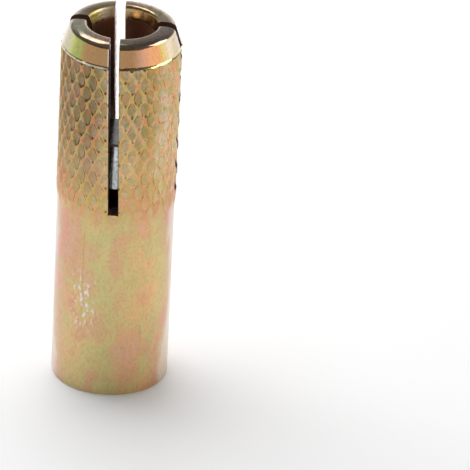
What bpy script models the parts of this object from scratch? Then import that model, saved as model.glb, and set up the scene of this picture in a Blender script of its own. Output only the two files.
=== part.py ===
"""Drop-in anchor for an M10 bolt, 12 mm across and 40 mm long, not yet set.

It is two pieces of plated steel: a knurled sleeve whose upper half is split into four legs, and a
loose cone, the expander plug, inside its bore. The anchor stands on its threaded end. The origin
is the centre of that end face and the axis of the sleeve is +Z. All lengths are in metres.
"""

import math
from collections import namedtuple

import bmesh
import bpy

MM = 0.001

# Sleeve, inside, from the mouth up to the tip
THREAD_DIAMETER = 10.0 * MM
THREAD_PITCH = 1.5 * MM
THREAD_LENGTH = 15.0 * MM
MOUTH_RELIEF = 0.1 * MM
GUIDE_NARROWING = 0.95 * MM
LIP_HEIGHT = 1.05 * MM
LIP_STEP = 0.45 * MM
LIP_RELIEF = 0.17 * MM
LIP_ROUNDING = 0.4 * MM

# Sleeve, outside
SLEEVE_LENGTH = 40.0 * MM
THREAD_WALL = 1.0 * MM
END_CHAMFER = 0.15 * MM
NOSE_HEIGHT = 2.3 * MM
NOSE_DROP = 0.57 * MM
NOSE_ROUNDING_WIDTH = 1.0 * MM
NOSE_ROUNDING_HEIGHT = 0.55 * MM
NOSE_STEP = 0.15 * MM

# Knurl: crossed ridges under the nose, which fade out towards the plain shank. One family of
# ridges is steeper than the other, so from foot to top the pattern twists by KNURL_TWIST_STEPS.
KNURL_MARGIN = 0.57 * MM
KNURL_LENGTH = 17.43 * MM
KNURL_FADE = 4.4 * MM
KNURL_STARTS = 28
KNURL_PITCH = 2.682 * MM
KNURL_TURN = math.radians(-0.75)
KNURL_TWIST_STEPS = 1
RIDGE_HEIGHT = 0.17 * MM
RIDGE_WIDTH = 0.44 * MM
PAD_DEPTH = 0.07 * MM

# Expander plug: it lies small end up, PLUG_DEPTH under the tip, and can rise by PLUG_STROKE
PLUG_DEPTH = 12.5 * MM
PLUG_STROKE = 3.0 * MM
PLUG_LENGTH = 4.7 * MM
PLUG_BAND = 1.7 * MM
PLUG_CHAMFER = 0.15 * MM
RUNNING_GAP = 0.3 * MM

# Slots: two saw cuts that cross, each a little off true, as the real ones are
SLOT_LENGTH = 19.0 * MM
SLOT_WIDTH = 1.04 * MM
Cut = namedtuple("Cut", "name turn lean offset")
CUTS = (
    Cut("front_cut", math.radians(-1.7), math.radians(-1.8), 0.1 * MM),
    Cut("side_cut", math.radians(84.8), 0.0, 0.3 * MM),
)

# How finely the round shapes are cut into flat faces
RING_STEPS = 2 * KNURL_STARTS
ARC_STEPS = 4
THREAD_STEPS = 20
THREAD_HALF_ANGLE = math.radians(30)
SHARP_EDGE_ANGLE = math.radians(20)

# Surface colours
YELLOW_ZINC = (0.60, 0.52, 0.30)
BLUE_ZINC = (0.62, 0.66, 0.68)

# Sizes that follow from the ones above
THREAD_RADIUS = THREAD_DIAMETER / 2
SHANK_RADIUS = THREAD_RADIUS + THREAD_WALL
RIDGE_RADIUS = SHANK_RADIUS + RIDGE_HEIGHT
MOUTH_RADIUS = THREAD_RADIUS + MOUTH_RELIEF
BORE_RADIUS = THREAD_RADIUS - THREAD_PITCH / 2
GUIDE_RADIUS = BORE_RADIUS - GUIDE_NARROWING
LIP_RADIUS = GUIDE_RADIUS + LIP_RELIEF
NOSE_FOOT = SLEEVE_LENGTH - NOSE_HEIGHT
KNURL_COLLAR = NOSE_FOOT - NOSE_STEP
KNURL_END = KNURL_COLLAR - KNURL_MARGIN
KNURL_START = KNURL_END - KNURL_LENGTH
PLUG_FOOT = SLEEVE_LENGTH - PLUG_DEPTH - PLUG_LENGTH
PLUG_BAND_RADIUS = BORE_RADIUS - RUNNING_GAP
PLUG_TIP_RADIUS = GUIDE_RADIUS - RUNNING_GAP
PLUG_CONE = PLUG_LENGTH - PLUG_BAND
TAPER_START = PLUG_FOOT + PLUG_BAND + PLUG_STROKE
TAPER_END = TAPER_START + PLUG_CONE


def clear_scene():
    """Remove whatever the file was opened with."""
    for thing in list(bpy.data.objects):
        bpy.data.objects.remove(thing, do_unlink=True)


def metal(name, colour, roughness):
    """A plated steel surface of one colour."""
    material = bpy.data.materials.new(name)
    material.use_nodes = True
    shader = material.node_tree.nodes["Principled BSDF"]
    shader.inputs["Base Color"].default_value = (*colour, 1.0)
    shader.inputs["Metallic"].default_value = 1.0
    shader.inputs["Roughness"].default_value = roughness
    return material


def add_object(name, bm, material=None):
    """Turn a bmesh into an object of the scene, with its faces pointing out."""
    bmesh.ops.recalc_face_normals(bm, faces=bm.faces)
    mesh = bpy.data.meshes.new(name)
    bm.to_mesh(mesh)
    bm.free()
    thing = bpy.data.objects.new(name, mesh)
    bpy.context.collection.objects.link(thing)
    if material:
        mesh.materials.append(material)
        mesh.shade_smooth()
        mesh.set_sharp_from_angle(angle=SHARP_EDGE_ANGLE)
    return thing


def on_circle(radius, angle, height):
    """The point at this radius, angle and height about the sleeve's axis."""
    return (radius * math.cos(angle), radius * math.sin(angle), height)


def ring(bm, radius, height):
    """A level ring of vertices about the axis."""
    step = 2 * math.pi / RING_STEPS
    return [bm.verts.new(on_circle(radius, KNURL_TURN + i * step, height)) for i in range(RING_STEPS)]


def skin(bm, lower, upper):
    """Quads between two rings or sections with the same number of vertices."""
    count = len(lower)
    for i in range(count):
        after = (i + 1) % count
        bm.faces.new((lower[i], lower[after], upper[after], upper[i]))


def rounded_edge(centre, width, height, start, end):
    """Profile points (radius, height) along a part of an ellipse, both ends included."""
    points = []
    for i in range(ARC_STEPS + 1):
        angle = start + (end - start) * i / ARC_STEPS
        points.append((centre[0] + width * math.cos(angle), centre[1] + height * math.sin(angle)))
    return points


def sleeve_profile():
    """The turned outline, from the knurl's foot round the mouth, bore and tip to the knurl's top."""
    lip_foot = SLEEVE_LENGTH - LIP_HEIGHT
    lip_centre = (LIP_RADIUS + LIP_ROUNDING, SLEEVE_LENGTH - LIP_ROUNDING)
    # The nose's rounded edge starts where its ellipse is as steep as the nose's side
    nose_angle = math.atan2(NOSE_DROP * NOSE_ROUNDING_HEIGHT, NOSE_HEIGHT * NOSE_ROUNDING_WIDTH)
    edge_centre = (
        SHANK_RADIUS - NOSE_DROP - NOSE_ROUNDING_WIDTH * math.cos(nose_angle),
        SLEEVE_LENGTH - NOSE_ROUNDING_HEIGHT,
    )
    outline = [
        (SHANK_RADIUS, KNURL_START),
        (SHANK_RADIUS, END_CHAMFER),
        (SHANK_RADIUS - END_CHAMFER, 0.0),
        (MOUTH_RADIUS, 0.0),
        (BORE_RADIUS, MOUTH_RADIUS - BORE_RADIUS),
        (BORE_RADIUS, TAPER_START),
        (GUIDE_RADIUS, TAPER_END),
        (GUIDE_RADIUS, lip_foot - LIP_STEP),
        (LIP_RADIUS, lip_foot),
    ]
    outline += rounded_edge(lip_centre, LIP_ROUNDING, LIP_ROUNDING, math.pi, math.pi / 2)
    outline += rounded_edge(
        edge_centre, NOSE_ROUNDING_WIDTH, NOSE_ROUNDING_HEIGHT, math.pi / 2, nose_angle
    )
    outline.append((SHANK_RADIUS, NOSE_FOOT))
    outline.append((RIDGE_RADIUS, KNURL_COLLAR))
    outline.append((RIDGE_RADIUS, KNURL_END))
    return outline


def knurl_strength(height):
    """How far the knurl has come up at this height: 0 at its lower edge, 1 past its fade."""
    share = min(max((height - KNURL_START) / KNURL_FADE, 0.0), 1.0)
    return share * share * (3 - 2 * share)


def add_knurl(bm, lower_ring, upper_ring):
    """Fill between two rings with diamonds: ridges along their edges, a sunk pad in each."""
    rows = max(2, round(KNURL_LENGTH / (KNURL_PITCH / 2)))
    row_height = KNURL_LENGTH / rows
    step = 2 * math.pi / RING_STEPS

    def upper_vertex(place):
        return upper_ring[(place - KNURL_TWIST_STEPS) % RING_STEPS]

    # Each row has a vertex at every other step, and the rows are staggered by one step
    lattice = []
    for row in range(rows + 1):
        height = KNURL_START + row * row_height
        radius = SHANK_RADIUS + RIDGE_HEIGHT * knurl_strength(height)
        turn = KNURL_TURN - step * KNURL_TWIST_STEPS * row / rows
        places = range(row % 2, RING_STEPS, 2)
        if row == 0:
            lattice.append({place: lower_ring[place] for place in places})
        elif row == rows:
            lattice.append({place: upper_vertex(place) for place in places})
        else:
            lattice.append(
                {place: bm.verts.new(on_circle(radius, turn + place * step, height)) for place in places}
            )

    def corner(row, place):
        return lattice[row][place % RING_STEPS]

    # The half diamonds along both edges also meet the ring's vertex between their corners
    for place in lattice[0]:
        bm.faces.new((corner(0, place), lower_ring[(place + 1) % RING_STEPS],
                      corner(0, place + 2), corner(1, place + 1)))
    for place in lattice[rows]:
        bm.faces.new((corner(rows, place), corner(rows - 1, place + 1),
                      corner(rows, place + 2), upper_vertex(place + 1)))

    diamonds = [
        [bm.faces.new((corner(row, place), corner(row + 1, place + 1),
                       corner(row + 2, place), corner(row + 1, place - 1)))
         for place in lattice[row]]
        for row in range(rows - 1)
    ]
    bmesh.ops.recalc_face_normals(bm, faces=bm.faces)
    for row, pads in enumerate(diamonds):
        strength = knurl_strength(KNURL_START + (row + 1) * row_height)
        bmesh.ops.inset_individual(
            bm,
            faces=pads,
            thickness=RIDGE_WIDTH / 2,
            depth=-(RIDGE_HEIGHT + PAD_DEPTH) * strength,
            use_even_offset=True,
        )


def make_sleeve(material):
    """The turned sleeve with its knurl, before the thread and the slots are cut."""
    bm = bmesh.new()
    rings = [ring(bm, radius, height) for radius, height in sleeve_profile()]
    for lower, upper in zip(rings, rings[1:]):
        skin(bm, lower, upper)
    add_knurl(bm, rings[0], rings[-1])
    return add_object("sleeve", bm, material)


def make_thread_cutter():
    """The V groove of the thread as a closed coil that runs out at its upper end."""
    bm = bmesh.new()
    foot = -THREAD_PITCH
    count = round((THREAD_LENGTH - foot) / THREAD_PITCH * THREAD_STEPS)
    fade_steps = THREAD_STEPS / 2
    root_half_width = THREAD_PITCH / 16
    inner_radius = BORE_RADIUS - RUNNING_GAP
    previous = None
    for i in range(count):
        angle = 2 * math.pi * i / THREAD_STEPS
        middle = foot + THREAD_PITCH * i / THREAD_STEPS
        depth = (THREAD_RADIUS - inner_radius) * min(1.0, (count - i) / fade_steps)
        inner_half_width = root_half_width + depth * math.tan(THREAD_HALF_ANGLE)
        section = [
            bm.verts.new(on_circle(radius, angle, middle + rise))
            for radius, rise in (
                (inner_radius, -inner_half_width),
                (inner_radius + depth, -root_half_width),
                (inner_radius + depth, root_half_width),
                (inner_radius, inner_half_width),
            )
        ]
        if previous:
            skin(bm, previous, section)
        else:
            bm.faces.new(section)
        previous = section
    bm.faces.new(previous)
    return add_object("thread_cutter", bm)


def make_slot_cutter(cut):
    """A thin box that stands on the foot of the slot and reaches out past the sleeve and the tip."""
    bm = bmesh.new()
    bmesh.ops.create_cube(bm, size=1.0)
    height = 2 * SLOT_LENGTH
    bmesh.ops.scale(bm, vec=(SLOT_WIDTH, 4 * RIDGE_RADIUS, height), verts=bm.verts)
    bmesh.ops.translate(bm, vec=(cut.offset, 0.0, height / 2), verts=bm.verts)
    cutter = add_object(cut.name, bm)
    cutter.location.z = SLEEVE_LENGTH - SLOT_LENGTH
    cutter.rotation_euler = (0.0, cut.lean, cut.turn)
    return cutter


def cut_with(thing, cutter):
    """Take the cutter's shape out of the thing, and keep the cutter out of sight."""
    cutter.hide_render = True
    cutter.display_type = "WIRE"
    cutter.parent = thing
    boolean = thing.modifiers.new(cutter.name, "BOOLEAN")
    boolean.operation = "DIFFERENCE"
    boolean.solver = "EXACT"
    boolean.object = cutter


def make_plug(material):
    """The expander plug: a short straight band with a cone on it, standing on its own origin."""
    bm = bmesh.new()
    cone_slope = (PLUG_BAND_RADIUS - PLUG_TIP_RADIUS) / PLUG_CONE
    outline = [
        (PLUG_BAND_RADIUS - PLUG_CHAMFER, 0.0),
        (PLUG_BAND_RADIUS, PLUG_CHAMFER),
        (PLUG_BAND_RADIUS, PLUG_BAND),
        (PLUG_TIP_RADIUS + PLUG_CHAMFER * cone_slope, PLUG_LENGTH - PLUG_CHAMFER),
        (PLUG_TIP_RADIUS - PLUG_CHAMFER, PLUG_LENGTH),
    ]
    rings = [ring(bm, radius, height) for radius, height in outline]
    for lower, upper in zip(rings, rings[1:]):
        skin(bm, lower, upper)
    bm.faces.new(rings[0])
    bm.faces.new(rings[-1])
    plug = add_object("expander_plug", bm, material)
    plug.location.z = PLUG_FOOT
    return plug


def main():
    clear_scene()
    sleeve = make_sleeve(metal("yellow_zinc", YELLOW_ZINC, 0.35))
    cut_with(sleeve, make_thread_cutter())
    for cut in CUTS:
        cut_with(sleeve, make_slot_cutter(cut))
    plug = make_plug(metal("blue_zinc", BLUE_ZINC, 0.30))
    plug.parent = sleeve


main()
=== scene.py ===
# %% [markdown]
# # A drop-in anchor in yellow zinc
#
# The object is a steel sleeve, 12 mm across and 40 mm long, that is pushed into a drilled hole in
# concrete. Its lower half is a plain shank with a thread inside. Its upper half is knurled and
# split into four legs, and a loose cone inside the bore is hammered up to spread them.
#
# The frame holds the true solids. This lesson gives them their looks: a knurl with round crests, a
# finer thread, a soft rim, and the rainbow film of yellow zinc plating.

# %% The frame
import math

import bpy
from mathutils import Matrix, Vector, noise


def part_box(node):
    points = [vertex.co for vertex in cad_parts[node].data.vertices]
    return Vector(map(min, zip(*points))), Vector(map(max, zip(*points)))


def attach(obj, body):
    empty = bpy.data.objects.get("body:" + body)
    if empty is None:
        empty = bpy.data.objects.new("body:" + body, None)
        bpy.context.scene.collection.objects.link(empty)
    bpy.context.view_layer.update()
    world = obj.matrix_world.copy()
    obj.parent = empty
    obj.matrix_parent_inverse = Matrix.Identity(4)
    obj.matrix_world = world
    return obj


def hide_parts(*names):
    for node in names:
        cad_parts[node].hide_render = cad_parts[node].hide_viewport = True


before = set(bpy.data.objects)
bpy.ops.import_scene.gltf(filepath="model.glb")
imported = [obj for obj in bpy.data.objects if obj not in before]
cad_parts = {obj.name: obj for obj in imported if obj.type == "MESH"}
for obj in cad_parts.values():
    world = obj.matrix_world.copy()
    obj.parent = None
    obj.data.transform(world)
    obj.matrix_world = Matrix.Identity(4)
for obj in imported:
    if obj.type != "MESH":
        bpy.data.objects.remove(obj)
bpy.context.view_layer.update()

MM = 0.001
sleeve_low, sleeve_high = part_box("sleeve")
plug_low, plug_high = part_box("expander_plug")
print("sleeve", sleeve_low / MM, sleeve_high / MM)

# %% [markdown]
# ## The camera
#
# The photograph looks down on the anchor by about 28 degrees through a long lens, and the horizon
# leans a little. A camera could be placed with a Track To constraint, but that one keeps the
# horizon level. Here the camera's three directions are worked out and written into its matrix.

# %% The camera
CAMERA_ELEVATION = math.radians(28.45)
CAMERA_ROLL = math.radians(2.87)
CAMERA_DISTANCE = 654.95 * MM
CAMERA_LENS_MM = 489.75
AIM = Vector((12.35 * MM, 0.0, 16.25 * MM))

back = Vector((0.0, -math.cos(CAMERA_ELEVATION), math.sin(CAMERA_ELEVATION)))
level = Vector((1.0, 0.0, 0.0))
upright = back.cross(level)
camera_right = math.cos(CAMERA_ROLL) * level + math.sin(CAMERA_ROLL) * upright
camera_up = back.cross(camera_right)

camera_data = bpy.data.cameras.new("camera")
camera_data.lens = CAMERA_LENS_MM
camera_data.sensor_width = 36.0
camera_data.clip_start = 0.01
camera_data.clip_end = 5.0
camera = bpy.data.objects.new("camera", camera_data)
bpy.context.collection.objects.link(camera)
facing = Matrix((camera_right, camera_up, back)).transposed().to_4x4()
camera.matrix_world = Matrix.Translation(AIM + back * CAMERA_DISTANCE) @ facing
bpy.context.scene.camera = camera
bpy.context.scene.view_settings.view_transform = "Standard"
print("camera at", camera.matrix_world.translation / MM)

# %% [markdown]
# ## Small helpers
#
# Most steps below select something and then run an edit-mode tool on it, as a hand would. An
# operator acts on all that is selected, so each step starts by clearing the selection. These
# helpers do that, and they pick edges by where their ends are.

# %% Helpers for selecting
def only(thing):
    """Leave edit mode with this object selected and active, and nothing else."""
    if bpy.context.mode != "OBJECT":
        bpy.ops.object.mode_set(mode="OBJECT")
    bpy.ops.object.select_all(action="DESELECT")
    thing.select_set(True)
    bpy.context.view_layer.objects.active = thing


def edit(thing, mode="VERT"):
    """Enter edit mode on one object with nothing in it selected."""
    only(thing)
    bpy.ops.object.mode_set(mode="EDIT")
    bpy.ops.mesh.select_mode(type=mode)
    bpy.ops.mesh.select_all(action="DESELECT")


def pick_edges(thing, test):
    """Select the edges whose two ends pass the test, and go on in edit mode."""
    edit(thing, "EDGE")
    bpy.ops.object.mode_set(mode="OBJECT")
    points = thing.data.vertices
    for edge in thing.data.edges:
        first, second = edge.vertices
        edge.select = test(points[first].co, points[second].co)
    bpy.ops.object.mode_set(mode="EDIT")


def apply_modifier(thing, kind, **settings):
    """Add a modifier with these settings and apply it at once."""
    only(thing)
    modifier = thing.modifiers.new(kind.lower(), kind)
    for name, value in settings.items():
        setattr(modifier, name, value)
    bpy.ops.object.modifier_apply(modifier=modifier.name)


def count_triangles(thing):
    """How many triangles a mesh has."""
    return sum(len(face.vertices) - 2 for face in thing.data.polygons)


# %% [markdown]
# ## The knurl
#
# On the real anchor a pair of slanted rolls presses crossed grooves into the turned bar. Crossed
# ridges stay standing between sunk diamonds, 28 of them round the sleeve. One roll is set a
# little steeper than the other, so the whole pattern twists slowly as it climbs. The ridges
# could be a bump texture, but they show on the outline, so they are real here.
#
# A flat grid is poked, which draws both diagonals in every cell, and dissolving its straight
# edges leaves only diamonds. The sheet is stood up, twisted, bent round once and merged at its
# seam. Every diamond is then subdivided, so that the mesh lines run along the ridges.

# %% Sizes of the sleeve's outside
SHANK_RADIUS = 6.0 * MM
NOSE_HEIGHT = 2.3 * MM
NOSE_STEP = 0.3 * MM
KNURL_STARTS = 28
KNURL_ROWS = 7
ROW_HEIGHT = 2.682 * MM
KNURL_MARGIN = 0.42 * MM
KNURL_TURN = math.radians(-0.75)
KNURL_TWIST = math.radians(-0.989)
SEAM_SHARE = 0.9
CUTS_PER_DIAMOND = 10
TINY = 0.002 * MM

tip = sleeve_high.z
nose_foot = tip - NOSE_HEIGHT
knurl_end = nose_foot - NOSE_STEP
sheet_top = knurl_end - KNURL_MARGIN + ROW_HEIGHT / 2
sheet_foot = sheet_top - KNURL_ROWS * ROW_HEIGHT
around = 2 * math.pi * SHANK_RADIUS
print("knurl sheet from", round(sheet_foot / MM, 3), "to", round(sheet_top / MM, 3), "mm")

# %% A sheet of diamonds
bpy.ops.object.select_all(action="DESELECT")
bpy.ops.mesh.primitive_grid_add(x_subdivisions=KNURL_STARTS, y_subdivisions=KNURL_ROWS, size=1.0)
sleeve = bpy.context.object
sleeve.name = "knurled_sleeve"
edit(sleeve, "FACE")
bpy.ops.mesh.select_all(action="SELECT")
bpy.ops.mesh.poke()
bpy.ops.transform.resize(value=(around, KNURL_ROWS * ROW_HEIGHT, 1.0))


def is_straight_inside(a, b):
    """True for an edge of the grid that isn't on the sheet's rim."""
    upright_inside = abs(a.x - b.x) < TINY and abs(a.x) < around / 2 - TINY
    level_inside = abs(a.y - b.y) < TINY and abs(a.y) < KNURL_ROWS * ROW_HEIGHT / 2 - TINY
    return upright_inside or level_inside


pick_edges(sleeve, is_straight_inside)
bpy.ops.mesh.dissolve_edges(use_verts=False)

# %% Twist it, roll it up and close the seam
only(sleeve)
sleeve.data.transform(Matrix.Rotation(math.radians(90), 4, "X"))
whole_twist = KNURL_ROWS * KNURL_TWIST
apply_modifier(sleeve, "SIMPLE_DEFORM", deform_method="BEND", deform_axis="Z", angle=2 * math.pi)
sleeve.data.transform(Matrix.Translation((0.0, -SHANK_RADIUS, 0.0)))
apply_modifier(sleeve, "SIMPLE_DEFORM", deform_method="TWIST", deform_axis="Z", angle=whole_twist)
sleeve.data.transform(Matrix.Rotation(KNURL_TURN + whole_twist / 2, 4, "Z"))
sleeve.data.transform(Matrix.Translation((0.0, 0.0, (sheet_foot + sheet_top) / 2)))
edit(sleeve)
bpy.ops.mesh.select_all(action="SELECT")
bpy.ops.mesh.remove_doubles(threshold=TINY)


def is_seam(a, b):
    """True for an edge that climbs a whole row, as only the two joined sides do."""
    return abs(a.z - b.z) > SEAM_SHARE * ROW_HEIGHT


pick_edges(sleeve, is_seam)
bpy.ops.mesh.dissolve_edges(use_verts=False)
bpy.ops.object.mode_set(mode="OBJECT")
print(len(sleeve.data.polygons), "diamonds")
edit(sleeve)
bpy.ops.mesh.select_all(action="SELECT")
bpy.ops.mesh.subdivide(number_cuts=CUTS_PER_DIAMOND)
apply_modifier(sleeve, "CAST", cast_type="CYLINDER", factor=1.0, size=SHANK_RADIUS,
               use_radius_as_size=False)

# %% [markdown]
# ## Ridges and pads
#
# The ridges are lifted and the diamonds sunk by two Displace modifiers, each held back by a vertex
# group, which is what weight painting makes. The weights are painted by a rule: how far a point
# is from the nearest of the two families of slanted lines. Between the ridges each diamond
# swells up again to a soft pad, and it is shallow where four ridges meet. The rolls press
# unevenly, so noise changes the height and width of every ridge. The pads are shallower in the
# lower part, and then the pattern fades out, higher up on the left than on the right, because
# the rolls were lifted off a little askew.

# %% How near a point is to a ridge
RIDGE_HALF_WIDTH = 0.43 * MM
RIDGE_HEIGHT = 0.16 * MM
PAD_DEPTH = 0.23 * MM
PAD_SWELL = 0.8
FADE_START = 19.5 * MM
FADE_LEAN = 0.6 * MM
FADE_HEIGHT = 2.0 * MM
FADE_WANDER = 0.7 * MM
FOOT_FADE = 1.2 * MM
TOP_FADE = 0.25 * MM
TOP_SHARE = 0.3
CORNER_REACH = 0.85
SHALLOW_SHARE = 0.7
SHALLOW_FROM = 23 * MM
SHALLOW_REACH = 8 * MM

cell_width = around / KNURL_STARTS
line_slant = math.atan2(cell_width, ROW_HEIGHT)
line_spacing = cell_width * math.cos(line_slant)


def lattice_place(point):
    """A point's place across the two families of ridges. A ridge lies at each whole number."""
    row = (point.z - sheet_foot) / ROW_HEIGHT
    azimuth = math.atan2(point.y, point.x) + math.pi / 2 - KNURL_TURN - row * KNURL_TWIST
    along = azimuth / (2 * math.pi) * KNURL_STARTS
    return along + row, along - row


def off_ridge(place):
    """How far a place is from the nearest ridge, from 0 on its crest to 0.5 between two."""
    return abs(place - round(place))


def ridge_share(place, half_width):
    """1 on a ridge's crest, 0 past its foot, with a narrow round top and a soft foot."""
    distance = off_ridge(place) * line_spacing / half_width
    return 0.0 if distance >= 1.0 else (0.5 + 0.5 * math.cos(math.pi * distance)) ** 2


def clamp(value):
    """A weight kept between 0 and 1."""
    return min(max(value, 0.0), 1.0)


# %% Paint the weights
GRIT_SIZE = 0.3 * MM
WOBBLE_SIZE = 0.9 * MM
PRESS_SIZE = 2.5 * MM
LINE_WANDER = 0.05
WIDTH_CHANGE = 0.2
RIDGE_SHARE = 0.8
RIDGE_PRESS = 0.15
RIDGE_WOBBLE = 0.25
PAD_ROUGHNESS = 0.2

ridges = sleeve.vertex_groups.new(name="ridges")
pads = sleeve.vertex_groups.new(name="pads")
for vertex in sleeve.data.vertices:
    point = vertex.co
    grit = noise.noise(point / GRIT_SIZE)
    wobble = noise.noise(point / WOBBLE_SIZE + Vector((0.0, 3.0, 0.0)))
    press = noise.noise(point / PRESS_SIZE + Vector((7.0, 0.0, 0.0)))
    first, second = lattice_place(point)
    first += LINE_WANDER * wobble
    second += LINE_WANDER * grit
    half_width = RIDGE_HALF_WIDTH * (1.0 + WIDTH_CHANGE * wobble)
    left = ridge_share(first, half_width)
    right = ridge_share(second, half_width)
    ridge = 1.0 - (1.0 - left) * (1.0 - right)
    dome = math.sin(math.pi * off_ridge(first)) * math.sin(math.pi * off_ridge(second))
    fade_foot = FADE_START - FADE_LEAN * point.x / SHANK_RADIUS
    fade = clamp((point.z + FADE_WANDER * press - fade_foot) / FADE_HEIGHT)
    fade *= clamp((point.z - sheet_foot) / FOOT_FADE)
    fade *= clamp(TOP_SHARE + (knurl_end - point.z) / TOP_FADE)
    ridge_weight = ridge * fade * (RIDGE_SHARE + RIDGE_PRESS * press + RIDGE_WOBBLE * wobble)
    pad_roughness = PAD_ROUGHNESS * grit + PAD_ROUGHNESS * wobble
    pad_weight = (1.0 - ridge) * fade * (1.0 - PAD_SWELL * dome + pad_roughness)
    pad_weight *= clamp((off_ridge(first) + off_ridge(second)) / CORNER_REACH)
    depth_share = clamp((point.z - SHALLOW_FROM) / SHALLOW_REACH)
    pad_weight *= SHALLOW_SHARE + (1.0 - SHALLOW_SHARE) * depth_share
    ridges.add([vertex.index], clamp(ridge_weight), "REPLACE")
    pads.add([vertex.index], clamp(pad_weight), "REPLACE")

# %% Press the knurl
apply_modifier(sleeve, "DISPLACE", strength=RIDGE_HEIGHT, mid_level=0.0, vertex_group="ridges")
apply_modifier(sleeve, "DISPLACE", strength=-PAD_DEPTH, mid_level=0.0, vertex_group="pads")
edit(sleeve)
bpy.ops.mesh.select_all(action="SELECT")
bpy.ops.mesh.bisect(plane_co=(0.0, 0.0, knurl_end), plane_no=(0.0, 0.0, 1.0), clear_outer=True)
bpy.ops.object.mode_set(mode="OBJECT")
print("knurl triangles", count_triangles(sleeve))

# %% [markdown]
# ## The turned body
#
# The rest of the sleeve is a lathe job, so it is made as a lathe would: a circle is extruded ring
# by ring along the outline, from the nose's foot over the tip, down the bore, out of the mouth
# and up the shank. A Screw modifier on a drawn outline would do as well, but the rings let a
# few edges be ragged where the real one was torn by the tool.
#
# The nose band gets a ring close to each of its ends. They keep its slope flat when the surface
# is shaded smooth. The wall inside the lip leans in as it goes down to the narrower bore.

# %% The outline, as radius and height
NOSE_DROP = 0.57 * MM
BURR_REACH = 0.16 * MM
BURR_DROP = 0.13 * MM
BAND_SUPPORTS = (0.05, 0.94)
SHANK_TOP_GAP = 0.5 * MM
NOSE_ROUNDING_WIDTH = 1.0 * MM
NOSE_ROUNDING_HEIGHT = 0.55 * MM
LIP_ROUNDING = 0.4 * MM
LIP_RADIUS = 3.57 * MM
LIP_FOOT_RADIUS = 3.31 * MM
LIP_HEIGHT = 0.95 * MM
LIP_STEP = 0.3 * MM
GUIDE_RADIUS = 3.3 * MM
TAPER_END = 30.5 * MM
TAPER_START = 27.5 * MM
BORE_RADIUS = 4.25 * MM
MOUTH_RADIUS = 5.1 * MM
FOOT_ROUNDING = 0.2 * MM
ARC_STEPS = 6
RING_STEPS = 224


def arc(centre, width, height, start, end):
    """Outline points along a part of an ellipse, both ends included."""
    points = []
    for i in range(ARC_STEPS + 1):
        angle = start + (end - start) * i / ARC_STEPS
        points.append((centre[0] + width * math.cos(angle), centre[1] + height * math.sin(angle)))
    return points


nose_angle = math.atan2(NOSE_DROP * NOSE_ROUNDING_HEIGHT, NOSE_HEIGHT * NOSE_ROUNDING_WIDTH)
nose_reach = NOSE_ROUNDING_WIDTH * math.cos(nose_angle)
rim_centre = (SHANK_RADIUS - NOSE_DROP - nose_reach, tip - NOSE_ROUNDING_HEIGHT)
lip_centre = (LIP_RADIUS + LIP_ROUNDING, tip - LIP_ROUNDING)
foot_centre = (SHANK_RADIUS - FOOT_ROUNDING, FOOT_ROUNDING)
rim_arc = arc(rim_centre, NOSE_ROUNDING_WIDTH, NOSE_ROUNDING_HEIGHT, nose_angle, math.pi / 2)
band_radius, band_top = rim_arc[0]
outline = [
    (SHANK_RADIUS + BURR_REACH, nose_foot - BURR_DROP),
    (SHANK_RADIUS, nose_foot),
]
for share in BAND_SUPPORTS:
    outline.append((SHANK_RADIUS + (band_radius - SHANK_RADIUS) * share,
                    nose_foot + (band_top - nose_foot) * share))
outline += rim_arc
outline += arc(lip_centre, LIP_ROUNDING, LIP_ROUNDING, math.pi / 2, math.pi)
outline += [
    (LIP_FOOT_RADIUS, tip - LIP_HEIGHT),
    (GUIDE_RADIUS, tip - LIP_HEIGHT - LIP_STEP),
    (GUIDE_RADIUS, TAPER_END),
    (BORE_RADIUS, TAPER_START),
    (BORE_RADIUS, MOUTH_RADIUS - BORE_RADIUS),
    (MOUTH_RADIUS, 0.0),
]
outline += arc(foot_centre, FOOT_ROUNDING, FOOT_ROUNDING, -math.pi / 2, 0.0)
outline.append((SHANK_RADIUS, sheet_foot - SHANK_TOP_GAP))

# %% Extrude the outline, ring by ring
def turn_outline(points, steps):
    """A turned shape: a circle of this many steps, extruded along (radius, height) points."""
    radius, height = points[0]
    bpy.ops.object.select_all(action="DESELECT")
    bpy.ops.mesh.primitive_circle_add(vertices=steps, radius=radius, location=(0.0, 0.0, height))
    thing = bpy.context.object
    bpy.ops.object.transform_apply(location=True)
    edit(thing, "EDGE")
    bpy.ops.mesh.select_all(action="SELECT")
    for (old_radius, old_height), (radius, height) in zip(points, points[1:]):
        move = {"value": (0.0, 0.0, height - old_height)}
        bpy.ops.mesh.extrude_region_move(TRANSFORM_OT_translate=move)
        share = radius / old_radius
        bpy.ops.transform.resize(value=(share, share, 1.0), center_override=(0.0, 0.0, height))
    bpy.ops.object.mode_set(mode="OBJECT")
    return thing


turned = turn_outline(outline, RING_STEPS)
print("turned body", len(outline), "rings,", count_triangles(turned), "triangles")

# %% [markdown]
# Two of these rings are torn by the tool on the real anchor: the burr between nose and knurl, and
# the foot of the lip inside the tip. The rings' points were made in order, so a ring is a
# slice of the mesh's points, and noise moves them a little.

# %% Ragged rings
BURR_WOBBLE = 0.055 * MM
BURR_GRAIN = 0.6 * MM
LIP_WOBBLE = 0.1 * MM
LIP_GRAIN = 0.8 * MM
lip_foot_ring = outline.index((LIP_FOOT_RADIUS, tip - LIP_HEIGHT))


def ring_points(number):
    """The points of one ring of the turned body, in their order."""
    return turned.data.vertices[number * RING_STEPS:(number + 1) * RING_STEPS]


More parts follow.
